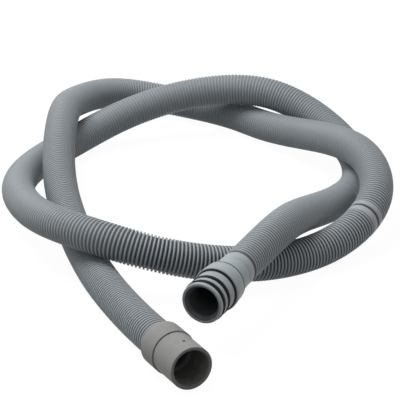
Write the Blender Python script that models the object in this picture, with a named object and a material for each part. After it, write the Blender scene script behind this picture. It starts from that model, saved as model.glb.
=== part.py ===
# Dishwasher drain hose, lying in a loose double loop.
# A blown corrugated tube, a rubber outlet cuff, and an inlet spigot with two O rings.

import math

import bmesh
import bpy
import numpy as np
from mathutils import Matrix, Vector

MM = 0.001

# Hose tube, measured over and under its ribs
HOSE_CREST_R = 12.25 * MM
HOSE_ROOT_R = 10.85 * MM
HOSE_BORE_R = 9.75 * MM
RIB_PITCH = 2.72 * MM
RIB_CREST_SHARE = 0.36
RIB_ROOT_SHARE = 0.24
NECK_R = 10.9 * MM
NECK_LENGTH = 16.0 * MM
END_RIBS = 10

# Moulded band between two stretches of ribs, in one piece with the tube
BAND_R = 12.35 * MM
BAND_GROOVE_R = 11.0 * MM
BAND_FIRST_LENGTH = 4.6 * MM
BAND_GROOVE_LENGTH = 2.0 * MM
BAND_SECOND_LENGTH = 5.6 * MM
BAND_EDGE = 0.1 * MM
BAND_RIBS = 4
BAND_PLACE = 907.0 * MM

# Outlet cuff, a soft rubber sleeve
OUTLET_BORE_R = 11.7 * MM
OUTLET_FACE_CHAMFER = 0.7 * MM
OUTLET_R = 14.4 * MM
OUTLET_EDGE = 0.5 * MM
OUTLET_FRONT_LENGTH = 24.0 * MM
OUTLET_GROOVE_LENGTH = 0.9 * MM
OUTLET_GROOVE_DEPTH = 0.6 * MM
COLLAR_R = 14.85 * MM
COLLAR_LENGTH = 16.0 * MM
COLLAR_ROUND = 1.0 * MM

# Inlet spigot
SPIGOT_BORE_R = 10.0 * MM
SPIGOT_MOUTH_R = 11.1 * MM
SPIGOT_FLARE_LENGTH = 3.5 * MM
NOSE_FLAT = 0.9 * MM
NOSE_R = 13.9 * MM
NOSE_LENGTH = 2.5 * MM
O_RING_THICKNESS = 2.7 * MM
O_RING_R = 14.2 * MM
RIDGE_LENGTH = 3.3 * MM
SEAL_LAND_LENGTH = 6.5 * MM
STOP_GROOVE_LENGTH = 1.6 * MM
STOP_GROOVE_DEPTH = 1.1 * MM
SHOULDER_FRONT_R = 15.4 * MM
SHOULDER_BACK_R = 14.0 * MM
SHOULDER_LENGTH = 14.6 * MM
SHOULDER_ROUND = 0.5 * MM
WAIST_SLOPE = 1.6 * MM
WAIST_WALL = 1.05 * MM
SLEEVE_WALL = 1.55 * MM
SLEEVE_LENGTH = 12.5 * MM

# Clearances
PIECE_GAP = 0.35 * MM
CROSSING_GAP = 0.8 * MM

# Where the two mouths lie, and which way the tube runs back from them
OUTLET_PLACE = (-1.5 * MM, -258.3 * MM)
OUTLET_HEADING = math.radians(117.4)
INLET_PLACE = (4.5 * MM, -206.8 * MM)
INLET_HEADING = math.radians(63.8)
INLET_HEIGHT = 34.5 * MM
INLET_RISE = math.radians(3.4)
STRAIGHT_PAST_CUFF = 6.0 * MM

# Route of the tube from the outlet to the inlet: x and y in millimetres, and its lift,
# which is 0 on the floor and 1 where it lies across another strand
ROUTE = (
    (-44.5, -168.3, 0.04),
    (-61.0, -124.3, 0.02),
    (-82.0, -50.3, 0.06),
    (-98.5, 26.2, 0.44),
    (-104.0, 107.2, 1.00),
    (-102.5, 156.2, 1.08),
    (-96.0, 196.7, 0.82),
    (-65.5, 243.2, 0.48),
    (-24.0, 252.7, 0.12),
    (35.0, 217.2, 0.02),
    (52.0, 196.2, 0.04),
    (86.0, 145.2, 0.40),
    (113.5, 82.7, 0.96),
    (124.0, 52.2, 1.08),
    (129.5, -7.8, 0.72),
    (91.5, -67.3, 0.12),
    (72.0, -81.8, 0.06),
    (-25.5, -117.3, 0.72),
    (-62.5, -108.8, 1.02),
    (-97.5, -77.3, 1.00),
    (-119.0, -28.8, 0.70),
    (-123.5, -12.3, 0.60),
    (-121.0, 108.2, 0.02),
    (-91.0, 160.2, 0.10),
    (-64.5, 184.2, 0.38),
    (2.5, 208.7, 0.94),
    (62.0, 200.7, 0.98),
    (84.5, 188.7, 0.72),
    (116.0, 146.7, 0.18),
    (124.5, 90.2, 0.02),
    (120.5, 58.7, 0.02),
    (86.0, -26.3, 0.54),
    (69.5, -68.3, 0.98),
    (62.5, -86.8, 1.12),
)

# Facets
TUBE_SIDES = 12
TUBE_STEP = 17.0 * MM
BORE_STEP = 20.0 * MM
TURNED_SIDES = 28
O_RING_SIDES = 8
PATH_STEP = 1.0 * MM
SHARP_ANGLE = math.radians(35.0)

# Colour, roughness, metallic
HOSE_LOOK = ((0.235, 0.262, 0.285, 1.0), 0.5, 0.0)
CUFF_LOOK = ((0.27, 0.268, 0.262, 1.0), 0.65, 0.0)
SPIGOT_LOOK = ((0.30, 0.335, 0.36, 1.0), 0.42, 0.0)
O_RING_LOOK = ((0.012, 0.012, 0.014, 1.0), 0.35, 0.0)


def clear_scene():
    for found in list(bpy.data.objects):
        bpy.data.objects.remove(found, do_unlink=True)


def make_material(name, look):
    colour, roughness, metallic = look
    made = bpy.data.materials.new(name)
    made.use_nodes = True
    shader = made.node_tree.nodes["Principled BSDF"]
    shader.inputs["Base Color"].default_value = colour
    shader.inputs["Roughness"].default_value = roughness
    shader.inputs["Metallic"].default_value = metallic
    made.diffuse_color = colour
    return made


def finish_object(name, shape, look):
    bmesh.ops.recalc_face_normals(shape, faces=shape.faces)
    mesh = bpy.data.meshes.new(name)
    shape.to_mesh(mesh)
    shape.free()
    mesh.shade_smooth()
    mesh.set_sharp_from_angle(angle=SHARP_ANGLE)
    mesh.materials.append(make_material(name, look))
    made = bpy.data.objects.new(name, mesh)
    bpy.context.scene.collection.objects.link(made)
    return made


def direction(heading, rise=0.0):
    flat = math.cos(rise)
    return Vector((math.cos(heading) * flat, math.sin(heading) * flat, math.sin(rise)))


# Lengths that follow from the sizes above

def outlet_length():
    return OUTLET_FRONT_LENGTH + OUTLET_GROOVE_LENGTH + COLLAR_LENGTH


def seal_groove_length():
    return O_RING_THICKNESS + 2 * PIECE_GAP


def seal_groove_starts():
    first = NOSE_LENGTH
    second = first + seal_groove_length() + RIDGE_LENGTH
    return first, second


def shoulder_start():
    second = seal_groove_starts()[1]
    return second + seal_groove_length() + SEAL_LAND_LENGTH + STOP_GROOVE_LENGTH


def sleeve_start():
    return shoulder_start() + SHOULDER_LENGTH + WAIST_SLOPE


def inlet_length():
    return sleeve_start() + SLEEVE_LENGTH


# The centre line of the tube

def outlet_mouth():
    return Vector((OUTLET_PLACE[0], OUTLET_PLACE[1], COLLAR_R))


def inlet_mouth():
    return Vector((INLET_PLACE[0], INLET_PLACE[1], INLET_HEIGHT))


def lifted(row):
    x, y, lift = row
    over = 2 * HOSE_CREST_R + CROSSING_GAP
    return Vector((x * MM, y * MM, HOSE_CREST_R + lift * over))


def clamped_spline(points, start_way, end_way):
    """Smooth curve through the points, leaving and arriving along two given ways."""
    knots = np.array([tuple(p) for p in points])
    spans = np.linalg.norm(np.diff(knots, axis=0), axis=1)
    slopes = np.diff(knots, axis=0) / spans[:, None]
    count = len(knots)
    matrix = np.zeros((count, count))
    right = np.zeros((count, 3))
    matrix[0, 0] = 2 * spans[0]
    matrix[0, 1] = spans[0]
    right[0] = 6 * (slopes[0] - np.array(start_way))
    for i in range(1, count - 1):
        matrix[i, i - 1] = spans[i - 1]
        matrix[i, i] = 2 * (spans[i - 1] + spans[i])
        matrix[i, i + 1] = spans[i]
        right[i] = 6 * (slopes[i] - slopes[i - 1])
    matrix[-1, -2] = spans[-1]
    matrix[-1, -1] = 2 * spans[-1]
    right[-1] = 6 * (np.array(end_way) - slopes[-1])
    bends = np.linalg.solve(matrix, right)
    dense = []
    for i, span in enumerate(spans):
        steps = max(2, round(span / PATH_STEP))
        for t in np.arange(steps) / steps:
            a = 1 - t
            dense.append(
                a * knots[i]
                + t * knots[i + 1]
                + ((a**3 - a) * bends[i] + (t**3 - t) * bends[i + 1]) * span * span / 6
            )
    dense.append(knots[-1])
    return np.array(dense)


def straight_run(start, way, length):
    steps = max(2, round(length / PATH_STEP))
    return np.array([tuple(start + way * (length * i / steps)) for i in range(steps)])


class CentreLine:
    """Points, ways and untwisted sideways vectors along the tube, by length."""

    def __init__(self, points):
        self.points = points
        spans = np.linalg.norm(np.diff(points, axis=0), axis=1)
        self.lengths = np.concatenate(([0.0], np.cumsum(spans)))
        self.length = self.lengths[-1]
        ways = np.gradient(points, self.lengths, axis=0)
        self.ways = ways / np.linalg.norm(ways, axis=1)[:, None]
        side = np.array([0.0, 0.0, 1.0])
        sides = []
        for way in self.ways:
            side = side - way * side.dot(way)
            side = side / np.linalg.norm(side)
            sides.append(side)
        self.sides = np.array(sides)

    def read(self, table, s):
        return np.array([np.interp(s, self.lengths, table[:, k]) for k in range(3)])

    def ring(self, s, radius, count):
        centre = self.read(self.points, s)
        way = self.read(self.ways, s)
        way = way / np.linalg.norm(way)
        side = self.read(self.sides, s)
        side = side - way * side.dot(way)
        side = side / np.linalg.norm(side)
        across = np.cross(way, side)
        angles = 2 * math.pi * np.arange(count) / count
        return [centre + radius * (side * math.cos(a) + across * math.sin(a)) for a in angles]


def tube_centre_line():
    outlet_way = direction(OUTLET_HEADING)
    inlet_way = direction(INLET_HEADING, INLET_RISE)
    hose_start = outlet_mouth() + outlet_way * (outlet_length() - NECK_LENGTH)
    bend_start = outlet_mouth() + outlet_way * (outlet_length() + STRAIGHT_PAST_CUFF)
    bend_end = inlet_mouth() + inlet_way * (inlet_length() + STRAIGHT_PAST_CUFF)
    run = NECK_LENGTH + STRAIGHT_PAST_CUFF
    through = [bend_start] + [lifted(row) for row in ROUTE] + [bend_end]
    bent = clamped_spline(through, outlet_way, -inlet_way)
    first = straight_run(hose_start, outlet_way, run)
    last = straight_run(bend_end, -inlet_way, run)
    tip = np.array([tuple(bend_end - inlet_way * run)])
    return CentreLine(np.concatenate((first, bent[:-1], last, tip)))


# Hose tube

def rib_stations(start, count):
    """Ring places and radii of flat topped ribs, one after another."""
    stations = []
    for i in range(count):
        middle = start + (i + 0.5) * RIB_PITCH
        crest = RIB_PITCH * RIB_CREST_SHARE / 2
        root = RIB_PITCH * (1 - RIB_ROOT_SHARE) / 2
        stations.append((middle - root, HOSE_ROOT_R))
        stations.append((middle - crest, HOSE_CREST_R))
        stations.append((middle + crest, HOSE_CREST_R))
        stations.append((middle + root, HOSE_ROOT_R))
    return stations


def plain_stations(start, end):
    count = max(1, round((end - start) / TUBE_STEP))
    return [(start + (end - start) * i / count, HOSE_CREST_R) for i in range(count + 1)]


def band_length():
    return BAND_FIRST_LENGTH + BAND_GROOVE_LENGTH + BAND_SECOND_LENGTH


def band_stations(start):
    groove = start + BAND_FIRST_LENGTH
    second = groove + BAND_GROOVE_LENGTH
    end = second + BAND_SECOND_LENGTH
    return [
        (start, HOSE_ROOT_R),
        (start + BAND_EDGE, BAND_R),
        (groove - BAND_EDGE, BAND_R),
        (groove, BAND_GROOVE_R),
        (second, BAND_GROOVE_R),
        (second + BAND_EDGE, BAND_R),
        (end - BAND_EDGE, BAND_R),
        (end, HOSE_ROOT_R),
    ]


def outer_stations(length):
    ribs_start = NECK_LENGTH + PIECE_GAP
    ribs_end = length - ribs_start
    end_run = END_RIBS * RIB_PITCH
    band_run = BAND_RIBS * RIB_PITCH
    band_start = BAND_PLACE - band_length() / 2
    band_end = band_start + band_length()
    ease = RIB_PITCH * RIB_ROOT_SHARE / 2
    stations = [(0.0, NECK_R), (NECK_LENGTH, NECK_R)]
    stations += rib_stations(ribs_start, END_RIBS)
    stations += plain_stations(ribs_start + end_run + ease, band_start - band_run - ease)
    stations += rib_stations(band_start - band_run, BAND_RIBS)
    stations += band_stations(band_start)
    stations += rib_stations(band_end, BAND_RIBS)
    stations += plain_stations(band_end + band_run + ease, ribs_end - end_run - ease)
    stations += rib_stations(ribs_end - end_run, END_RIBS)
    stations += [(length - NECK_LENGTH, NECK_R), (length, NECK_R)]
    return stations


def inner_stations(length):
    count = round(length / BORE_STEP)
    return [(length * i / count, HOSE_BORE_R) for i in range(count + 1)]


def join_rings(shape, first, second):
    count = len(first)
    for i in range(count):
        j = (i + 1) % count
        shape.faces.new((first[i], first[j], second[j], second[i]))


def build_hose_tube(line):
    """A hollow loft: outer rings out, inner rings back, joined at both ends."""
    shape = bmesh.new()
    loop = []
    for s, radius in outer_stations(line.length):
        loop.append([shape.verts.new(p) for p in line.ring(s, radius, TUBE_SIDES)])
    for s, radius in reversed(inner_stations(line.length)):
        loop.append([shape.verts.new(p) for p in line.ring(s, radius, TUBE_SIDES)])
    for first, second in zip(loop, loop[1:] + loop[:1]):
        join_rings(shape, first, second)
    return finish_object("hose_tube", shape, HOSE_LOOK)


# Turned pieces: a closed profile of (place along the axis, radius) spun about local Z

def turned(name, profile, look, sides=TURNED_SIDES):
    shape = bmesh.new()
    rings = []
    for s, radius in profile:
        ring = []
        for i in range(sides):
            angle = 2 * math.pi * i / sides
            ring.append(shape.verts.new((radius * math.cos(angle), radius * math.sin(angle), s)))
        rings.append(ring)
    for first, second in zip(rings, rings[1:] + rings[:1]):
        join_rings(shape, first, second)
    return finish_object(name, shape, look)


def rounded_corner(s, radius, reach, turn, count=3):
    """Points round a quarter circle: turn 1 goes up to the radius, -1 comes down from it."""
    points = []
    for i in range(count + 1):
        angle = math.pi / 2 * i / count
        if turn > 0:
            points.append((s + reach * (1 - math.cos(angle)), radius - reach * (1 - math.sin(angle))))
        else:
            points.append((s - reach * (1 - math.sin(angle)), radius - reach * (1 - math.cos(angle))))
    return points


def outlet_profile():
    groove = OUTLET_FRONT_LENGTH
    collar = groove + OUTLET_GROOVE_LENGTH
    end = outlet_length()
    socket = end - NECK_LENGTH - PIECE_GAP
    socket_r = NECK_R + PIECE_GAP
    profile = [(0.0, OUTLET_BORE_R + OUTLET_FACE_CHAMFER)]
    profile += rounded_corner(0.0, OUTLET_R, OUTLET_EDGE, 1, 2)
    profile += [
        (groove, OUTLET_R),
        (groove, OUTLET_R - OUTLET_GROOVE_DEPTH),
        (collar, OUTLET_R - OUTLET_GROOVE_DEPTH),
        (collar, COLLAR_R),
    ]
    profile += rounded_corner(end, COLLAR_R, COLLAR_ROUND, -1)
    profile += [
        (end, socket_r),
        (socket, socket_r),
        (socket, HOSE_BORE_R),
        (socket - (OUTLET_BORE_R - HOSE_BORE_R), OUTLET_BORE_R),
        (OUTLET_FACE_CHAMFER, OUTLET_BORE_R),
    ]
    return profile


def inlet_profile():
    first, second = seal_groove_starts()
    width = seal_groove_length()
    floor = O_RING_R - O_RING_THICKNESS - PIECE_GAP
    stop = second + width + SEAL_LAND_LENGTH
    shoulder = shoulder_start()
    sleeve = sleeve_start()
    end = inlet_length()
    socket = end - NECK_LENGTH - PIECE_GAP
    socket_r = NECK_R + PIECE_GAP
    nose_round = NOSE_R - SPIGOT_MOUTH_R - NOSE_FLAT
    profile = [(0.0, SPIGOT_MOUTH_R)]
    profile += rounded_corner(0.0, NOSE_R, nose_round, 1, 4)
    for groove in (first, second):
        profile += [(groove, NOSE_R), (groove, floor), (groove + width, floor), (groove + width, NOSE_R)]
    profile += [
        (stop, NOSE_R),
        (stop, NOSE_R - STOP_GROOVE_DEPTH),
        (shoulder, NOSE_R - STOP_GROOVE_DEPTH),
        (shoulder, SHOULDER_FRONT_R - SHOULDER_ROUND),
        (shoulder + SHOULDER_ROUND, SHOULDER_FRONT_R),
        (sleeve - WAIST_SLOPE, SHOULDER_BACK_R),
        (sleeve, socket_r + WAIST_WALL),
        (end, socket_r + SLEEVE_WALL),
        (end, socket_r),
        (socket, socket_r),
        (socket, SPIGOT_BORE_R),
        (SPIGOT_FLARE_LENGTH, SPIGOT_BORE_R),
    ]
    return profile


def o_ring_profile(start):
    """The section of an O ring that lies in the groove starting there."""
    radius = O_RING_THICKNESS / 2
    middle = start + PIECE_GAP + radius
    profile = []
    for i in range(O_RING_SIDES):
        angle = 2 * math.pi * i / O_RING_SIDES
        profile.append((middle - radius * math.cos(angle), O_RING_R - radius + radius * math.sin(angle)))
    return profile


def mouth_empty(name, place, way):
    """An empty at a mouth, its local Z running back into the tube and its X straight up or down."""
    across = Vector((0.0, 0.0, 1.0)).cross(way).normalized()
    up = way.cross(across)
    turn = Matrix((up, -across, way)).transposed()
    made = bpy.data.objects.new(name, None)
    made.location = place
    made.rotation_euler = turn.to_euler()
    bpy.context.scene.collection.objects.link(made)
    return made


def main():
    clear_scene()
    build_hose_tube(tube_centre_line())
    outlet = mouth_empty("outlet_mouth", outlet_mouth(), direction(OUTLET_HEADING))
    inlet = mouth_empty("inlet_mouth", inlet_mouth(), direction(INLET_HEADING, INLET_RISE))
    first, second = seal_groove_starts()
    turned("outlet_cuff", outlet_profile(), CUFF_LOOK).parent = outlet
    turned("inlet_spigot", inlet_profile(), SPIGOT_LOOK).parent = inlet
    turned("o_ring_front", o_ring_profile(first), O_RING_LOOK).parent = inlet
    turned("o_ring_rear", o_ring_profile(second), O_RING_LOOK).parent = inlet
    bpy.context.view_layer.update()


main()
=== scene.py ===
import math

import bmesh
import bpy
import numpy as np
from mathutils import Matrix, Vector


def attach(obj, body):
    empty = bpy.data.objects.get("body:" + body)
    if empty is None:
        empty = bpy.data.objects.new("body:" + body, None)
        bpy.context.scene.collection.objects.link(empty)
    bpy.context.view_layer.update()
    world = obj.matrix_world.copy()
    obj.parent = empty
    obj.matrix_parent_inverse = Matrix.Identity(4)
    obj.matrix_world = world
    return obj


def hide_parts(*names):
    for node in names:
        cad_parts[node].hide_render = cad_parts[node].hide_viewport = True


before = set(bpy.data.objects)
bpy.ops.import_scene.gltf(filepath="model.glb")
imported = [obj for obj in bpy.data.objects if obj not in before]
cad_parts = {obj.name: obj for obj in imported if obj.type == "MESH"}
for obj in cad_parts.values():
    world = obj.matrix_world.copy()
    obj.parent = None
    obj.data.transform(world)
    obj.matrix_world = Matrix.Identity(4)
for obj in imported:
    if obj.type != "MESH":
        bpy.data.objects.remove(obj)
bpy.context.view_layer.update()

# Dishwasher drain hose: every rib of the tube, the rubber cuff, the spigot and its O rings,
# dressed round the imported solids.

MM = 0.001

# Camera: its place over the floor and its tilt, at the photograph's angle
CAMERA_PLACE = (3.5 * MM, -1348.5 * MM, 550.2 * MM)
CAMERA_DOWN = math.radians(21.343)
CAMERA_LENS = 180.34
CAMERA_SENSOR = 36.0
CAMERA_NEAR = 0.05

# Hose tube
HOSE_CREST_R = 12.25 * MM
HOSE_ROOT_R = 10.85 * MM
HOSE_BORE_R = 9.75 * MM
RIB_PITCH = 2.6 * MM
RIB_CREST_SHARE = 0.38
RIB_ROOT_SHARE = 0.36
NECK_R = 10.9 * MM
NECK_LENGTH = 16.0 * MM

# How the ribs fade where the tube looks smooth: the share of their depth that is left, and how
# far crests and valleys there go towards the painted valley shade
RIB_SHALLOWEST = 0.36
SMOOTH_CREST_TONE = 0.27
SMOOTH_VALLEY_TONE = 0.37

# The depth from which a ring counts as a valley, and the share of the way down to it at which
# the wall has the valley's full painted shade
VALLEY_LEAST_DEPTH = 0.1 * MM
VALLEY_REACH = 0.45

# How strongly the ribs show along the tube, as place and share, which also sets how the painted valley
# shade spreads
RIB_SHOW = (
    (0.0, 1.0),
    (0.14, 1.0),
    (0.30, 0.6),
    (0.42, 0.3),
    (0.52, 0.16),
    (0.78, 0.12),
    (0.86, 0.35),
    (0.92, 0.95),
    (0.98, 1.0),
    (1.08, 1.0),
    (1.13, 0.4),
    (1.18, 0.08),
    (1.33, 0.08),
    (1.50, 0.12),
    (1.68, 0.16),
    (1.77, 0.08),
    (1.84, 0.04),
    (1.90, 0.15),
    (1.96, 0.6),
    (2.05, 0.85),
)

# Moulded bands in the tube
BAND_R = 12.35 * MM
BAND_FIRST_LENGTH = 4.6 * MM
BAND_GROOVE_LENGTH = 2.2 * MM
BAND_SECOND_LENGTH = 5.6 * MM
BAND_EDGE = 0.12 * MM
BAND_CORNER = 0.35 * MM
BAND_PLACES = (908.0 * MM, 1802.3 * MM)

# Outlet cuff
OUTLET_BORE_R = 11.7 * MM
OUTLET_FACE_CHAMFER = 0.7 * MM
OUTLET_R = 14.1 * MM
OUTLET_EDGE = 0.5 * MM
OUTLET_FRONT_LENGTH = 24.0 * MM
OUTLET_GROOVE_LENGTH = 0.5 * MM
OUTLET_GROOVE_DEPTH = 0.6 * MM
COLLAR_R = 14.85 * MM
COLLAR_LENGTH = 16.4 * MM
COLLAR_ROUND = 1.0 * MM
CUFF_CORNER = 0.2 * MM
GATE_MARK_BACK = 10.4 * MM
GATE_MARK_CORE_R = 0.7 * MM
GATE_MARK_R = 1.4 * MM
# How far inside the cuff's outer edge its front face starts to take painted shade
SHADED_FACE_INSET = 0.3 * MM

# Inlet spigot, from its mouth back
SPIGOT_BORE_R = 10.0 * MM
SPIGOT_MOUTH_R = 12.1 * MM
SPIGOT_FLARE_LENGTH = 2.6 * MM
NOSE_FLAT = 0.9 * MM
NOSE_R = 13.9 * MM
NOSE_LENGTH = 2.5 * MM
# How far in from the mouth the spigot's front face takes painted shade
LIP_REACH = 0.3 * MM
O_RING_THICKNESS = 3.0 * MM
O_RING_R = 14.4 * MM
RIDGE_LENGTH = 3.0 * MM
SEAL_LAND_LENGTH = 6.2 * MM
STOP_GROOVE_LENGTH = 1.6 * MM
STOP_GROOVE_DEPTH = 1.4 * MM
SHOULDER_FRONT_R = 15.4 * MM
SHOULDER_BACK_R = 14.6 * MM
SHOULDER_LENGTH = 12.3 * MM
SHOULDER_ROUND = 0.5 * MM
WAIST_LINE_LENGTH = 1.1 * MM
WAIST_LINE_DEPTH = 1.2 * MM
WAIST_BEAD_LENGTH = 0.7 * MM
WAIST_BEAD_R = 14.35 * MM
WAIST_SLOPE = 0.6 * MM
WAIST_EASE = 1.2 * MM
WAIST_R = 12.2 * MM
SLEEVE_R = 12.0 * MM
SLEEVE_LENGTH = 19.6 * MM
SLEEVE_GROOVE = 2.0 * MM
SLEEVE_LINE_PLACE = 11.6 * MM
SLEEVE_LINE_LENGTH = 0.4 * MM
SLEEVE_LINE_DEPTH = 0.35 * MM
SPIGOT_CORNER = 0.2 * MM

# How dark the painted shade in the grooves, lines and front faces is, from 0 to 1
CUFF_LINE_DARK = 0.8
CUFF_LIP_DARK = 0.45
SPIGOT_LIP_DARK = 0.3
SEAL_GROOVE_DARK = 1.0
STOP_WALL_DARK = 0.9
WAIST_LINE_DARK = 0.8
SLEEVE_LINE_DARK = 0.6

# The top of a groove's wall that stays lit, and the play with which a groove is told by its place
WALL_LIT = 0.4 * MM
SLIVER = 0.01 * MM
LINE_PLAY = 0.05 * MM

# Clearances
PIECE_GAP = 0.35 * MM
CROSSING_GAP = 0.8 * MM

# Where the two mouths lie, and which way the tube runs back from them
OUTLET_PLACE = (-1.5 * MM, -258.3 * MM)
OUTLET_HEADING = math.radians(117.4)
INLET_PLACE = (4.5 * MM, -206.8 * MM)
INLET_HEADING = math.radians(63.8)
INLET_HEIGHT = 34.5 * MM
INLET_RISE = math.radians(3.4)
STRAIGHT_PAST_CUFF = 6.0 * MM

# Route of the tube from the outlet to the inlet, as in the solids: x and y in metres, and its
# lift, which is 0 on the floor and 1 where it lies across another strand
ROUTE = (
    (-0.0445, -0.1683, 0.04),
    (-0.0610, -0.1243, 0.02),
    (-0.0820, -0.0503, 0.06),
    (-0.0985, 0.0262, 0.44),
    (-0.1040, 0.1072, 1.00),
    (-0.1025, 0.1562, 1.08),
    (-0.0960, 0.1967, 0.82),
    (-0.0655, 0.2432, 0.48),
    (-0.0240, 0.2527, 0.12),
    (0.0350, 0.2172, 0.02),
    (0.0520, 0.1962, 0.04),
    (0.0860, 0.1452, 0.40),
    (0.1135, 0.0827, 0.96),
    (0.1240, 0.0522, 1.08),
    (0.1295, -0.0078, 0.72),
    (0.0915, -0.0673, 0.12),
    (0.0720, -0.0818, 0.06),
    (-0.0255, -0.1173, 0.72),
    (-0.0625, -0.1088, 1.02),
    (-0.0975, -0.0773, 1.00),
    (-0.1190, -0.0288, 0.70),
    (-0.1235, -0.0123, 0.60),
    (-0.1210, 0.1082, 0.02),
    (-0.0910, 0.1602, 0.10),
    (-0.0645, 0.1842, 0.38),
    (0.0025, 0.2087, 0.94),
    (0.0620, 0.2007, 0.98),
    (0.0845, 0.1887, 0.72),
    (0.1160, 0.1467, 0.18),
    (0.1245, 0.0902, 0.02),
    (0.1205, 0.0587, 0.02),
    (0.0860, -0.0263, 0.54),
    (0.0695, -0.0683, 0.98),
    (0.0625, -0.0868, 1.12),
)

# Facets and steps, and the most of a side that a softened corner takes
TUBE_SIDES = 30
BORE_STEP = 12.0 * MM
TURNED_SIDES = 96
O_RING_SIDES = 20
ROUND_STEPS = 4
NOSE_ROUND_STEPS = 6
CORNER_SHARE = 0.4
PATH_STEP = 1.0 * MM
CORD_PATH_STEP = 5.0 * MM

# Colours, in linear light
HOSE_DEEP = (0.328, 0.362, 0.389)
HOSE_PALE = (0.356, 0.391, 0.419)
HOSE_SPECK_DEEP = (0.330, 0.364, 0.391)
HOSE_SPECK_PALE = (0.354, 0.389, 0.417)
# Painted shade for the valleys between the ribs
HOSE_VALLEY_SHADE = (0.056, 0.063, 0.069)
# Painted shade inside the tube
HOSE_BORE_SHADE = (0.05, 0.054, 0.058)
CUFF_DEEP = (0.252, 0.251, 0.247)
CUFF_PALE = (0.284, 0.282, 0.277)
CUFF_DUST = (0.33, 0.327, 0.32)
# The gate mark: a dark spot that paints the shade of its small dimple
CUFF_GATE_SHADE = (0.03, 0.03, 0.028)
# Painted shade in the cuff's groove line and on its front face
CUFF_GROOVE_SHADE = (0.04, 0.039, 0.037)
# Painted shade inside the cuff
CUFF_BORE_SHADE = (0.135, 0.133, 0.129)
SPIGOT_DEEP = (0.318, 0.358, 0.378)
SPIGOT_PALE = (0.348, 0.386, 0.406)
# Painted shade in the spigot's grooves and lines and on its front face
SPIGOT_GROOVE_SHADE = (0.012, 0.013, 0.014)
# Painted shade inside the spigot
SPIGOT_BORE_SHADE = (0.062, 0.065, 0.068)
SEAL_DEEP = (0.005, 0.005, 0.006)
SEAL_PALE = (0.010, 0.010, 0.011)
FILM_DEEPER = 0.8
FILM_PALER = 1.25

# Floor and light
FLOOR_SIZE = 6.0
FLOOR_GAP = 0.2 * MM
KEY_SIZE = 1.1
KEY_PLACE = (-0.58, 0.18, 1.38)
KEY_POWER = 18.4
SKY_TOP = 0.56
SKY_TOP_FROM = 0.9
SKY_RIM = 0.36
FLOOR_BOUNCE = 0.24
FLOOR_SHADOW = 0.07
FLOOR_GLOW = 0.96


# Centre line of the tube

def direction(heading, rise=0.0):
    flat = math.cos(rise)
    return Vector((math.cos(heading) * flat, math.sin(heading) * flat, math.sin(rise)))


def outlet_length():
    return OUTLET_FRONT_LENGTH + OUTLET_GROOVE_LENGTH + COLLAR_LENGTH


def seal_groove_length():
    return O_RING_THICKNESS + 2 * PIECE_GAP


def seal_groove_starts():
    first = NOSE_LENGTH
    second = first + seal_groove_length() + RIDGE_LENGTH
    return first, second


def shoulder_start():
    second = seal_groove_starts()[1]
    return second + seal_groove_length() + SEAL_LAND_LENGTH + STOP_GROOVE_LENGTH


def sleeve_start():
    return shoulder_start() + SHOULDER_LENGTH + WAIST_SLOPE


def inlet_length():
    return sleeve_start() + SLEEVE_LENGTH


def outlet_mouth():
    return Vector((OUTLET_PLACE[0], OUTLET_PLACE[1], COLLAR_R))


def inlet_mouth():
    return Vector((INLET_PLACE[0], INLET_PLACE[1], INLET_HEIGHT))


def lifted(row):
    x, y, lift = row
    return Vector((x, y, HOSE_CREST_R + lift * (2 * HOSE_CREST_R + CROSSING_GAP)))


def clamped_spline(points, start_way, end_way):
    """Smooth curve through the points, leaving and arriving along two given ways."""
    knots = np.array([tuple(p) for p in points])
    spans = np.linalg.norm(np.diff(knots, axis=0), axis=1)
    slopes = np.diff(knots, axis=0) / spans[:, None]
    count = len(knots)
    matrix = np.zeros((count, count))
    right = np.zeros((count, 3))
    matrix[0, 0] = 2 * spans[0]
    matrix[0, 1] = spans[0]
    right[0] = 6 * (slopes[0] - np.array(start_way))
    for i in range(1, count - 1):
        matrix[i, i - 1] = spans[i - 1]
        matrix[i, i] = 2 * (spans[i - 1] + spans[i])
        matrix[i, i + 1] = spans[i]
        right[i] = 6 * (slopes[i] - slopes[i - 1])
    matrix[-1, -2] = spans[-1]
    matrix[-1, -1] = 2 * spans[-1]
    right[-1] = 6 * (np.array(end_way) - slopes[-1])
    bends = np.linalg.solve(matrix, right)
    dense = []
    for i, span in enumerate(spans):
        steps = max(2, round(span / PATH_STEP))
        for t in np.arange(steps) / steps:
            a = 1 - t
            dense.append(
                a * knots[i]
                + t * knots[i + 1]
                + ((a**3 - a) * bends[i] + (t**3 - t) * bends[i + 1]) * span * span / 6
            )
    dense.append(knots[-1])
    return np.array(dense)


def straight_run(start, way, length):
    steps = max(2, round(length / PATH_STEP))
    return np.array([tuple(start + way * (length * i / steps)) for i in range(steps)])


class CentreLine:
    """Points, ways and untwisted sideways vectors along the tube, by length."""

    def __init__(self, points):
        self.points = points
        spans = np.linalg.norm(np.diff(points, axis=0), axis=1)
        self.lengths = np.concatenate(([0.0], np.cumsum(spans)))
        self.length = self.lengths[-1]
        ways = np.gradient(points, self.lengths, axis=0)
        self.ways = ways / np.linalg.norm(ways, axis=1)[:, None]
        side = np.array([0.0, 0.0, 1.0])
        sides = []
        for way in self.ways:
            side = side - way * side.dot(way)
            side = side / np.linalg.norm(side)
            sides.append(side)
        self.sides = np.array(sides)

    def read(self, table, s):
        return np.array([np.interp(s, self.lengths, table[:, k]) for k in range(3)])

    def ring(self, s, radius, count):
        centre = self.read(self.points, s)
        way = self.read(self.ways, s)
        way = way / np.linalg.norm(way)
        side = self.read(self.sides, s)
        side = side - way * side.dot(way)
        side = side / np.linalg.norm(side)
        across = np.cross(way, side)
        angles = 2 * math.pi * np.arange(count) / count
        spokes = np.outer(np.cos(angles), side) + np.outer(np.sin(angles), across)
        return centre + radius * spokes


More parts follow.
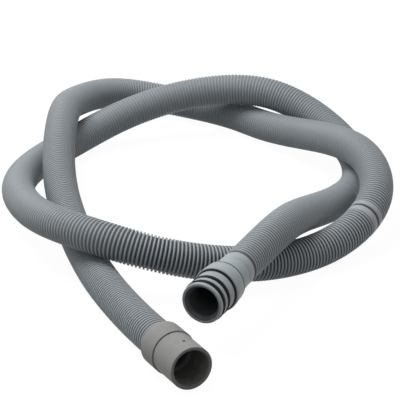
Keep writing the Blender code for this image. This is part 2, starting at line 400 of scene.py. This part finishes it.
def tube_centre_line():
    outlet_way = direction(OUTLET_HEADING)
    inlet_way = direction(INLET_HEADING, INLET_RISE)
    hose_start = outlet_mouth() + outlet_way * (outlet_length() - NECK_LENGTH)
    bend_start = outlet_mouth() + outlet_way * (outlet_length() + STRAIGHT_PAST_CUFF)
    bend_end = inlet_mouth() + inlet_way * (inlet_length() + STRAIGHT_PAST_CUFF)
    run = NECK_LENGTH + STRAIGHT_PAST_CUFF
    through = [bend_start] + [lifted(row) for row in ROUTE] + [bend_end]
    bent = clamped_spline(through, outlet_way, -inlet_way)
    first = straight_run(hose_start, outlet_way, run)
    last = straight_run(bend_end, -inlet_way, run)
    tip = np.array([tuple(bend_end - inlet_way * run)])
    return CentreLine(np.concatenate((first, bent[:-1], last, tip)))


# Node materials

class Shade:
    """A Principled material, with short calls for the nodes that vary its colour and surface."""

    def __init__(self, name, colour, roughness, specular):
        self.material = bpy.data.materials.new(name)
        self.material.use_nodes = True
        self.nodes = self.material.node_tree.nodes
        self.links = self.material.node_tree.links
        self.shader = self.nodes["Principled BSDF"]
        self.shader.inputs["Base Color"].default_value = (*colour, 1.0)
        self.shader.inputs["Roughness"].default_value = roughness
        self.shader.inputs["Specular IOR Level"].default_value = specular
        self.place = self.nodes.new("ShaderNodeTexCoord").outputs["Object"]

    def noise(self, scale, detail=4.0, roughness=0.55, stretch=None):
        texture = self.nodes.new("ShaderNodeTexNoise")
        texture.inputs["Scale"].default_value = scale
        texture.inputs["Detail"].default_value = detail
        texture.inputs["Roughness"].default_value = roughness
        place = self.place
        if stretch is not None:
            mapping = self.nodes.new("ShaderNodeMapping")
            mapping.inputs["Scale"].default_value = stretch
            self.links.new(place, mapping.inputs["Vector"])
            place = mapping.outputs["Vector"]
        self.links.new(place, texture.inputs["Vector"])
        return texture.outputs["Fac"]

    def spread(self, value, reads, gives=(0.0, 1.0)):
        """Maps a value from the range that it reads onto the range that it gives."""
        node = self.nodes.new("ShaderNodeMapRange")
        node.inputs["From Min"].default_value = reads[0]
        node.inputs["From Max"].default_value = reads[1]
        node.inputs["To Min"].default_value = gives[0]
        node.inputs["To Max"].default_value = gives[1]
        self.links.new(value, node.inputs["Value"])
        return node.outputs["Result"]

    def mix(self, factor, first, second):
        node = self.nodes.new("ShaderNodeMix")
        node.data_type = "RGBA"
        for key, value in (("A", first), ("B", second)):
            socket = next(s for s in node.inputs if s.name == key and s.type == "RGBA")
            if isinstance(value, tuple):
                socket.default_value = (*value, 1.0)
            else:
                self.links.new(value, socket)
        self.links.new(factor, node.inputs["Factor"])
        return next(s for s in node.outputs if s.type == "RGBA")

    def colour(self, value):
        self.links.new(value, self.shader.inputs["Base Color"])

    def roughness(self, value):
        self.links.new(value, self.shader.inputs["Roughness"])

    def bump(self, heights, distance):
        """Adds fine relief from one height, in metres at full height."""
        node = self.nodes.new("ShaderNodeBump")
        node.inputs["Distance"].default_value = distance
        self.links.new(heights, node.inputs["Height"])
        self.links.new(node.outputs["Normal"], self.shader.inputs["Normal"])

    def spot(self, place, inner, outer):
        """1 within the inner distance of a point of the object, falling to 0 at the outer."""
        node = self.nodes.new("ShaderNodeVectorMath")
        node.operation = "DISTANCE"
        node.inputs[1].default_value = place
        self.links.new(self.place, node.inputs[0])
        return self.spread(node.outputs["Value"], (inner, outer), (1.0, 0.0))

    def share(self, name):
        """A share held at the mesh's points: the painted shade of a groove or valley, or how smooth the
        hose looks.
        """
        node = self.nodes.new("ShaderNodeAttribute")
        node.attribute_name = name
        return node.outputs["Fac"]


def hose_material():
    shade = Shade("hose_blown_plastic", HOSE_PALE, roughness=0.45, specular=0.3)
    broad = shade.spread(shade.noise(14.0, detail=3.0), reads=(0.35, 0.65))
    fine = shade.spread(shade.noise(420.0), reads=(0.3, 0.7))
    half = shade.spread(shade.noise(60.0, detail=2.0), reads=(0.4, 0.6), gives=(0.35, 0.65))
    base = shade.mix(broad, HOSE_DEEP, HOSE_PALE)
    speck = shade.mix(fine, HOSE_SPECK_DEEP, HOSE_SPECK_PALE)
    surface = shade.mix(half, base, speck)
    # Painted shade: valleys between the ribs go dark, and where the ribs are shallow, crests and valleys
    # both take part of that shade
    smooth = shade.share("smooth")
    crest_tone = shade.spread(smooth, reads=(0.0, 1.0), gives=(0.0, SMOOTH_CREST_TONE))
    valley_tone = shade.spread(smooth, reads=(0.0, 1.0), gives=(1.0, SMOOTH_VALLEY_TONE))
    crest = shade.mix(crest_tone, surface, HOSE_VALLEY_SHADE)
    valley = shade.mix(valley_tone, surface, HOSE_VALLEY_SHADE)
    depth = shade.spread(shade.share("painted_shade"), reads=(0.0, VALLEY_REACH))
    shade.colour(shade.mix(depth, crest, valley))
    shade.roughness(shade.spread(shade.noise(90.0, detail=5.0), reads=(0.3, 0.7), gives=(0.42, 0.54)))
    shade.bump(shade.noise(2600.0, detail=2.0), distance=0.04 * MM)
    return shade.material


def cuff_material(gate_mark):
    shade = Shade("cuff_grey_rubber", CUFF_PALE, roughness=0.65, specular=0.25)
    cloud = shade.spread(shade.noise(55.0), reads=(0.35, 0.65))
    dust = shade.spread(shade.noise(900.0, detail=3.0), reads=(0.62, 0.74), gives=(0.0, 0.35))
    base = shade.mix(cloud, CUFF_DEEP, CUFF_PALE)
    base = shade.mix(dust, base, CUFF_DUST)
    # The gate mark's dimple, drawn only as a spot of painted shade
    base = shade.mix(shade.spot(gate_mark, GATE_MARK_CORE_R, GATE_MARK_R), base, CUFF_GATE_SHADE)
    # Painted shade in the groove line and on the front face
    shade.colour(shade.mix(shade.share("painted_shade"), base, CUFF_GROOVE_SHADE))
    shade.roughness(shade.spread(shade.noise(240.0), reads=(0.3, 0.7), gives=(0.58, 0.74)))
    shade.bump(shade.noise(1500.0), distance=0.07 * MM)
    return shade.material


def spigot_material():
    shade = Shade("spigot_moulded_plastic", SPIGOT_PALE, roughness=0.42, specular=0.3)
    flow = shade.spread(shade.noise(45.0, detail=3.0, stretch=(1.0, 0.35, 1.0)), reads=(0.35, 0.65))
    base = shade.mix(flow, SPIGOT_DEEP, SPIGOT_PALE)
    # Painted shade in the grooves and lines and on the front face
    shade.colour(shade.mix(shade.share("painted_shade"), base, SPIGOT_GROOVE_SHADE))
    shade.roughness(shade.spread(shade.noise(160.0), reads=(0.3, 0.7), gives=(0.38, 0.5)))
    shade.bump(shade.noise(1900.0, detail=3.0), distance=0.03 * MM)
    return shade.material


def seal_material():
    shade = Shade("seal_black_rubber", SEAL_DEEP, roughness=0.5, specular=0.12)
    dust = shade.spread(shade.noise(380.0), reads=(0.45, 0.75))
    shade.colour(shade.mix(dust, SEAL_DEEP, SEAL_PALE))
    shade.roughness(shade.spread(shade.noise(500.0, detail=3.0), reads=(0.3, 0.7), gives=(0.44, 0.58)))
    return shade.material


def bore_material(name, colour):
    """The inside of a tube, painted dark as the shade inside it, mottled a little."""
    shade = Shade(name, colour, roughness=0.5, specular=0.15)
    film = shade.spread(shade.noise(120.0), reads=(0.35, 0.65))
    deep = tuple(FILM_DEEPER * c for c in colour)
    pale = tuple(FILM_PALER * c for c in colour)
    shade.colour(shade.mix(film, deep, pale))
    shade.roughness(shade.spread(shade.noise(200.0, detail=3.0), reads=(0.3, 0.7), gives=(0.42, 0.6)))
    return shade.material


# Meshes

def carry_share(mesh, name, by_ring):
    """Gives the points of each ring one share, for the materials to read."""
    sides = len(mesh.vertices) // len(by_ring)
    held = mesh.attributes.new(name, "FLOAT", "POINT")
    held.data.foreach_set("value", np.repeat(np.array(by_ring, dtype=np.float32), sides))


def place_mesh(name, rings, shade_shares, materials, inner_from):
    """A skin over rings of equal count. From one ring on it has the second material."""
    count = len(rings[0])
    points = np.concatenate(rings)
    total = len(rings)
    faces = []
    for i in range(total):
        a = i * count
        b = ((i + 1) % total) * count
        for k in range(count):
            n = (k + 1) % count
            faces.append((a + k, a + n, b + n, b + k))
    mesh = bpy.data.meshes.new(name)
    mesh.from_pydata(points.tolist(), [], faces)
    shape = bmesh.new()
    shape.from_mesh(mesh)
    bmesh.ops.recalc_face_normals(shape, faces=shape.faces)
    shape.to_mesh(mesh)
    shape.free()
    mesh.shade_smooth()
    for material in materials:
        mesh.materials.append(material)
    rows = np.repeat(np.arange(total), count)
    mesh.polygons.foreach_set("material_index", (rows >= inner_from).astype(np.int32))
    carry_share(mesh, "painted_shade", shade_shares)
    made = bpy.data.objects.new(name, mesh)
    bpy.context.scene.collection.objects.link(made)
    return made


def rib_show(s):
    """How strongly the ribs show at a place along the tube."""
    places, shares = zip(*RIB_SHOW)
    return float(np.interp(s, places, shares))


def valley_radius(s):
    share = RIB_SHALLOWEST + (1 - RIB_SHALLOWEST) * rib_show(s)
    return HOSE_CREST_R - (HOSE_CREST_R - HOSE_ROOT_R) * share


def ribs_between(start, end):
    """Ring places and radii of the ribs that fill a stretch, at very nearly the rib pitch."""
    count = round((end - start) / RIB_PITCH)
    pitch = (end - start) / count
    stations = []
    for i in range(count):
        middle = start + (i + 0.5) * pitch
        crest = pitch * RIB_CREST_SHARE / 2
        root = pitch * (1 - RIB_ROOT_SHARE) / 2
        valley = valley_radius(middle)
        stations.append((middle - root, valley))
        stations.append((middle - crest, HOSE_CREST_R))
        stations.append((middle + crest, HOSE_CREST_R))
        stations.append((middle + root, valley))
    return stations


def band_length():
    return BAND_FIRST_LENGTH + BAND_GROOVE_LENGTH + BAND_SECOND_LENGTH


def raised_ring(start, end):
    """Ring places and radii of one smooth raised ring with small rounded edges."""
    return [
        (start, HOSE_ROOT_R),
        (start + BAND_EDGE, BAND_R - BAND_EDGE),
        (start + BAND_CORNER, BAND_R),
        (end - BAND_CORNER, BAND_R),
        (end - BAND_EDGE, BAND_R - BAND_EDGE),
        (end, HOSE_ROOT_R),
    ]


def band_stations(start):
    groove = start + BAND_FIRST_LENGTH
    second = groove + BAND_GROOVE_LENGTH
    end = start + band_length()
    return raised_ring(start, groove) + raised_ring(second, end)


def outer_stations(length):
    ribs_start = NECK_LENGTH + PIECE_GAP
    stations = [(0.0, NECK_R), (NECK_LENGTH, NECK_R)]
    reached = ribs_start
    for place in BAND_PLACES:
        band_start = place - band_length() / 2
        stations += ribs_between(reached, band_start)
        stations += band_stations(band_start)
        reached = band_start + band_length()
    stations += ribs_between(reached, length - ribs_start - SLEEVE_GROOVE)
    stations += [(length - NECK_LENGTH, NECK_R), (length, NECK_R)]
    return stations


def build_hose(line):
    stations = outer_stations(line.length)
    rings = [line.ring(s, radius, TUBE_SIDES) for s, radius in stations]
    # Rings down in a valley take the painted valley shade, and where the ribs look smooth it spreads over
    # crests and valleys
    shade_shares = [float(radius < HOSE_CREST_R - VALLEY_LEAST_DEPTH) for s, radius in stations]
    smooth = [1 - rib_show(s) for s, radius in stations]
    inner_from = len(rings)
    count = round(line.length / BORE_STEP)
    for i in range(count, -1, -1):
        rings.append(line.ring(line.length * i / count, HOSE_BORE_R, TUBE_SIDES))
        shade_shares.append(0.0)
        smooth.append(0.0)
    materials = (hose_material(), bore_material("hose_bore_shade", HOSE_BORE_SHADE))
    hose = place_mesh("corrugated_hose", rings, shade_shares, materials, inner_from)
    carry_share(hose.data, "smooth", smooth)
    return hose


def turning_frame(place, way):
    """The placing that takes local Z along the way and local X upwards."""
    across = Vector((0.0, 0.0, 1.0)).cross(way).normalized()
    up = way.cross(across)
    turn = Matrix((up, -across, way)).transposed().to_4x4()
    return Matrix.Translation(place) @ turn


def turned(name, profile, placing, materials, inner_from, grooves=()):
    """A closed profile of (place along the axis, radius), spun about the placing's Z. A groove
    gives the stretch in which points under its radius are painted dark as shade."""
    angles = 2 * math.pi * np.arange(TURNED_SIDES) / TURNED_SIDES
    turn = np.array(placing.to_3x3())
    shift = np.array(placing.translation)
    rings = []
    shade_shares = []
    for s, radius in profile:
        sunk = [share for low, high, level, share in grooves if low <= s <= high and radius < level]
        shade_shares.append(max(sunk, default=0.0) if len(rings) < inner_from else 0.0)
        ring = np.stack([radius * np.cos(angles), radius * np.sin(angles), np.full(TURNED_SIDES, s)], 1)
        rings.append(ring @ turn.T + shift)
    return place_mesh(name, rings, shade_shares, materials, inner_from)


def softened(corners, reach):
    """A closed profile whose corners are each cut by a small three point round."""
    profile = []
    total = len(corners)
    for i in range(total):
        before = Vector(corners[i - 1])
        here = Vector(corners[i])
        after = Vector(corners[(i + 1) % total])
        back = before - here
        ahead = after - here
        near = min(reach, back.length * CORNER_SHARE, ahead.length * CORNER_SHARE)
        first = here + back.normalized() * near
        last = here + ahead.normalized() * near
        middle = (first + last + 2 * here) / 4
        profile += [tuple(first), tuple(middle), tuple(last)]
    return profile


def rounded_corner(s, radius, reach, turn, count=ROUND_STEPS):
    """Points round a quarter circle: turn 1 goes up to the radius, -1 comes down from it."""
    points = []
    for i in range(count + 1):
        angle = math.pi / 2 * i / count
        if turn > 0:
            points.append((s + reach * (1 - math.cos(angle)), radius - reach * (1 - math.sin(angle))))
        else:
            points.append((s - reach * (1 - math.sin(angle)), radius - reach * (1 - math.cos(angle))))
    return points


def outlet_profile():
    groove = OUTLET_FRONT_LENGTH
    collar = groove + OUTLET_GROOVE_LENGTH
    end = outlet_length()
    socket = end - NECK_LENGTH - PIECE_GAP
    socket_r = NECK_R + PIECE_GAP
    corners = [(0.0, OUTLET_BORE_R + OUTLET_FACE_CHAMFER)]
    corners += rounded_corner(0.0, OUTLET_R, OUTLET_EDGE, 1)
    corners += [
        (groove, OUTLET_R),
        (groove, OUTLET_R - OUTLET_GROOVE_DEPTH),
        (collar, OUTLET_R - OUTLET_GROOVE_DEPTH),
        (collar, COLLAR_R),
    ]
    corners += rounded_corner(end, COLLAR_R, COLLAR_ROUND, -1)
    inner_from = 3 * len(corners)
    corners += [
        (end, socket_r),
        (socket, socket_r),
        (socket, HOSE_BORE_R),
        (socket - (OUTLET_BORE_R - HOSE_BORE_R), OUTLET_BORE_R),
        (OUTLET_FACE_CHAMFER, OUTLET_BORE_R),
    ]
    return softened(corners, CUFF_CORNER), inner_from


def inlet_profile():
    first, second = seal_groove_starts()
    width = seal_groove_length()
    floor = O_RING_R - O_RING_THICKNESS - PIECE_GAP
    stop = second + width + SEAL_LAND_LENGTH
    shoulder = shoulder_start()
    sleeve = sleeve_start()
    end = inlet_length()
    socket = end - NECK_LENGTH - PIECE_GAP
    socket_r = NECK_R + PIECE_GAP
    nose_round = NOSE_R - SPIGOT_MOUTH_R - NOSE_FLAT
    line = sleeve + SLEEVE_LINE_PLACE
    rim = sleeve - WAIST_SLOPE
    corners = [(0.0, SPIGOT_MOUTH_R)]
    corners += rounded_corner(0.0, NOSE_R, nose_round, 1, NOSE_ROUND_STEPS)
    for groove in (first, second):
        back = groove + width
        corners += [
            (groove, NOSE_R),
            (groove, floor),
            (back, floor),
            (back, NOSE_R - WALL_LIT),
            (back, NOSE_R),
        ]
    corners += [
        (stop, NOSE_R),
        (stop, NOSE_R - STOP_GROOVE_DEPTH),
        (shoulder, NOSE_R - STOP_GROOVE_DEPTH),
        (shoulder, SHOULDER_FRONT_R - SHOULDER_ROUND - WALL_LIT),
        (shoulder, SHOULDER_FRONT_R - SHOULDER_ROUND),
        (shoulder + SHOULDER_ROUND, SHOULDER_FRONT_R),
        (rim - WAIST_LINE_LENGTH, SHOULDER_BACK_R),
        (rim - WAIST_LINE_LENGTH, SHOULDER_BACK_R - WAIST_LINE_DEPTH),
        (rim, SHOULDER_BACK_R - WAIST_LINE_DEPTH),
        (rim, WAIST_BEAD_R - WALL_LIT / 2),
        (rim, WAIST_BEAD_R),
        (rim + WAIST_BEAD_LENGTH, WAIST_BEAD_R),
        (sleeve + WAIST_EASE, WAIST_R),
        (line, WAIST_R),
        (line, WAIST_R - SLEEVE_LINE_DEPTH),
        (line + SLEEVE_LINE_LENGTH, WAIST_R - SLEEVE_LINE_DEPTH),
        (line + SLEEVE_LINE_LENGTH, SLEEVE_R),
        (end, SLEEVE_R),
    ]
    inner_from = 3 * len(corners)
    corners += [
        (end, socket_r),
        (socket, socket_r),
        (socket, SPIGOT_BORE_R),
        (SPIGOT_FLARE_LENGTH, SPIGOT_BORE_R),
    ]
    return softened(corners, SPIGOT_CORNER), inner_from


def outlet_grooves():
    """The cuff's line and its front face, both painted dark as shade: from, to, the radius under which it
    is sunk, and how dark.
    """
    line = OUTLET_FRONT_LENGTH
    return (
        (line, line + OUTLET_GROOVE_LENGTH, OUTLET_R - OUTLET_GROOVE_DEPTH / 2, CUFF_LINE_DARK),
        (-SLIVER, OUTLET_EDGE, OUTLET_R - SHADED_FACE_INSET, CUFF_LIP_DARK),
    )


def inlet_grooves():
    """The spigot's lip, grooves and lines, painted dark as shade: from, to, the radius under which it is
    sunk, and how dark.
    """
    shoulder = shoulder_start()
    wall_r = SHOULDER_FRONT_R - SHOULDER_ROUND - WALL_LIT / 2
    sleeve = sleeve_start()
    rim = sleeve - WAIST_SLOPE
    line = sleeve + SLEEVE_LINE_PLACE
    return (
        (-SLIVER, LIP_REACH, SPIGOT_MOUTH_R + NOSE_FLAT, SPIGOT_LIP_DARK),
        (NOSE_LENGTH, shoulder - SLIVER, NOSE_R - WALL_LIT / 2, SEAL_GROOVE_DARK),
        (shoulder - SLIVER, shoulder + SLIVER, wall_r, STOP_WALL_DARK),
        (rim - WAIST_LINE_LENGTH, rim + SLIVER, WAIST_BEAD_R - WALL_LIT / 4, WAIST_LINE_DARK),
        (line, line + SLEEVE_LINE_LENGTH, SLEEVE_R - LINE_PLAY, SLEEVE_LINE_DARK),
    )


def o_ring_profile(start):
    """The section of an O ring that lies in the groove starting there."""
    radius = O_RING_THICKNESS / 2
    middle = start + PIECE_GAP + radius
    profile = []
    for i in range(O_RING_SIDES):
        angle = 2 * math.pi * i / O_RING_SIDES
        profile.append((middle - radius * math.cos(angle), O_RING_R - radius + radius * math.sin(angle)))
    return profile


def build_cuff():
    placing = turning_frame(outlet_mouth(), direction(OUTLET_HEADING))
    mark = placing @ Vector((OUTLET_R, 0.0, GATE_MARK_BACK))
    looks = (cuff_material(mark), bore_material("cuff_bore_shade", CUFF_BORE_SHADE))
    profile, inner_from = outlet_profile()
    return turned("rubber_cuff", profile, placing, looks, inner_from, outlet_grooves())


def build_spigot(placing):
    looks = (spigot_material(), bore_material("spigot_bore_shade", SPIGOT_BORE_SHADE))
    profile, inner_from = inlet_profile()
    return turned("moulded_spigot", profile, placing, looks, inner_from, inlet_grooves())


def build_seal(name, placing, groove_start, material):
    profile = o_ring_profile(groove_start)
    return turned(name, profile, placing, (material,), len(profile))


# Camera, floor and light

def make_camera():
    data = bpy.data.cameras.new("camera")
    data.sensor_width = CAMERA_SENSOR
    data.lens = CAMERA_LENS
    data.clip_start = CAMERA_NEAR
    camera = bpy.data.objects.new("camera", data)
    camera.location = CAMERA_PLACE
    camera.rotation_euler = (math.pi / 2 - CAMERA_DOWN, 0.0, 0.0)
    bpy.context.scene.collection.objects.link(camera)
    bpy.context.scene.camera = camera


def seen_directly(nodes, links):
    """1 for rays from the camera and for mirrored and transmitted ones, 0 for diffuse light."""
    path = nodes.new("ShaderNodeLightPath")
    total = path.outputs["Is Camera Ray"]
    for name in ("Is Glossy Ray", "Is Transmission Ray"):
        node = nodes.new("ShaderNodeMath")
        node.operation = "MAXIMUM"
        links.new(total, node.inputs[0])
        links.new(path.outputs[name], node.inputs[1])
        total = node.outputs[0]
    return total


def grey(level):
    return (level, level, level, 1.0)


def make_floor():
    mesh = bpy.data.meshes.new("floor")
    half = FLOOR_SIZE / 2
    plan = ((-half, -half), (half, -half), (half, half), (-half, half))
    mesh.from_pydata([(x, y, -FLOOR_GAP) for x, y in plan], [], [(0, 1, 2, 3)])
    floor = bpy.data.objects.new("floor", mesh)
    bpy.context.scene.collection.objects.link(floor)
    material = bpy.data.materials.new("floor_white")
    material.use_nodes = True
    nodes = material.node_tree.nodes
    links = material.node_tree.links
    nodes.clear()
    out = nodes.new("ShaderNodeOutputMaterial")
    dull = nodes.new("ShaderNodeBsdfDiffuse")
    dull.inputs["Color"].default_value = grey(FLOOR_BOUNCE)
    shadowed = nodes.new("ShaderNodeBsdfDiffuse")
    shadowed.inputs["Color"].default_value = grey(FLOOR_SHADOW)
    glow = nodes.new("ShaderNodeEmission")
    glow.inputs["Strength"].default_value = FLOOR_GLOW
    both = nodes.new("ShaderNodeAddShader")
    links.new(shadowed.outputs[0], both.inputs[0])
    links.new(glow.outputs[0], both.inputs[1])
    pick = nodes.new("ShaderNodeMixShader")
    links.new(seen_directly(nodes, links), pick.inputs[0])
    links.new(dull.outputs[0], pick.inputs[1])
    links.new(both.outputs[0], pick.inputs[2])
    links.new(pick.outputs[0], out.inputs["Surface"])
    mesh.materials.append(material)


def make_light():
    data = bpy.data.lights.new("key", "AREA")
    data.shape = "SQUARE"
    data.size = KEY_SIZE
    data.energy = KEY_POWER
    lamp = bpy.data.objects.new("key", data)
    lamp.location = KEY_PLACE
    lamp.rotation_euler = (-Vector(KEY_PLACE)).to_track_quat("-Z", "Y").to_euler()
    bpy.context.scene.collection.objects.link(lamp)
    world = bpy.data.worlds.new("studio")
    bpy.context.scene.world = world
    world.use_nodes = True
    nodes = world.node_tree.nodes
    links = world.node_tree.links
    nodes.clear()
    out = nodes.new("ShaderNodeOutputWorld")
    soft = nodes.new("ShaderNodeBackground")
    soft.inputs["Color"].default_value = grey(1.0)
    way = nodes.new("ShaderNodeSeparateXYZ")
    links.new(nodes.new("ShaderNodeTexCoord").outputs["Generated"], way.inputs[0])
    rise = nodes.new("ShaderNodeMapRange")
    rise.inputs["From Min"].default_value = 0.0
    rise.inputs["From Max"].default_value = SKY_TOP_FROM
    rise.inputs["To Min"].default_value = SKY_RIM
    rise.inputs["To Max"].default_value = SKY_TOP
    links.new(way.outputs["Z"], rise.inputs["Value"])
    links.new(rise.outputs["Result"], soft.inputs["Strength"])
    white = nodes.new("ShaderNodeBackground")
    white.inputs["Color"].default_value = grey(1.0)
    white.inputs["Strength"].default_value = 1.0
    pick = nodes.new("ShaderNodeMixShader")
    links.new(seen_directly(nodes, links), pick.inputs[0])
    links.new(soft.outputs[0], pick.inputs[1])
    links.new(white.outputs[0], pick.inputs[2])
    links.new(pick.outputs[0], out.inputs["Surface"])
    bpy.context.scene.view_settings.view_transform = "Standard"


def main():
    make_camera()
    line = tube_centre_line()
    hose = build_hose(line)
    cuff = build_cuff()
    inlet = turning_frame(inlet_mouth(), direction(INLET_HEADING, INLET_RISE))
    spigot = build_spigot(inlet)
    first, second = seal_groove_starts()
    rubber = seal_material()
    front = build_seal("front_seal", inlet, first, rubber)
    rear = build_seal("rear_seal", inlet, second, rubber)
    stands_for = (
        (hose, "hose_tube"),
        (cuff, "outlet_cuff"),
        (spigot, "inlet_spigot"),
        (front, "o_ring_front"),
        (rear, "o_ring_rear"),
    )
    for piece, node in stands_for:
        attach(piece, "root")
        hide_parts(node)
    steps = round(line.length / CORD_PATH_STEP)
    path = [tuple(line.read(line.points, line.length * i / steps)) for i in range(steps + 1)]
    make_floor()
    make_light()


main()
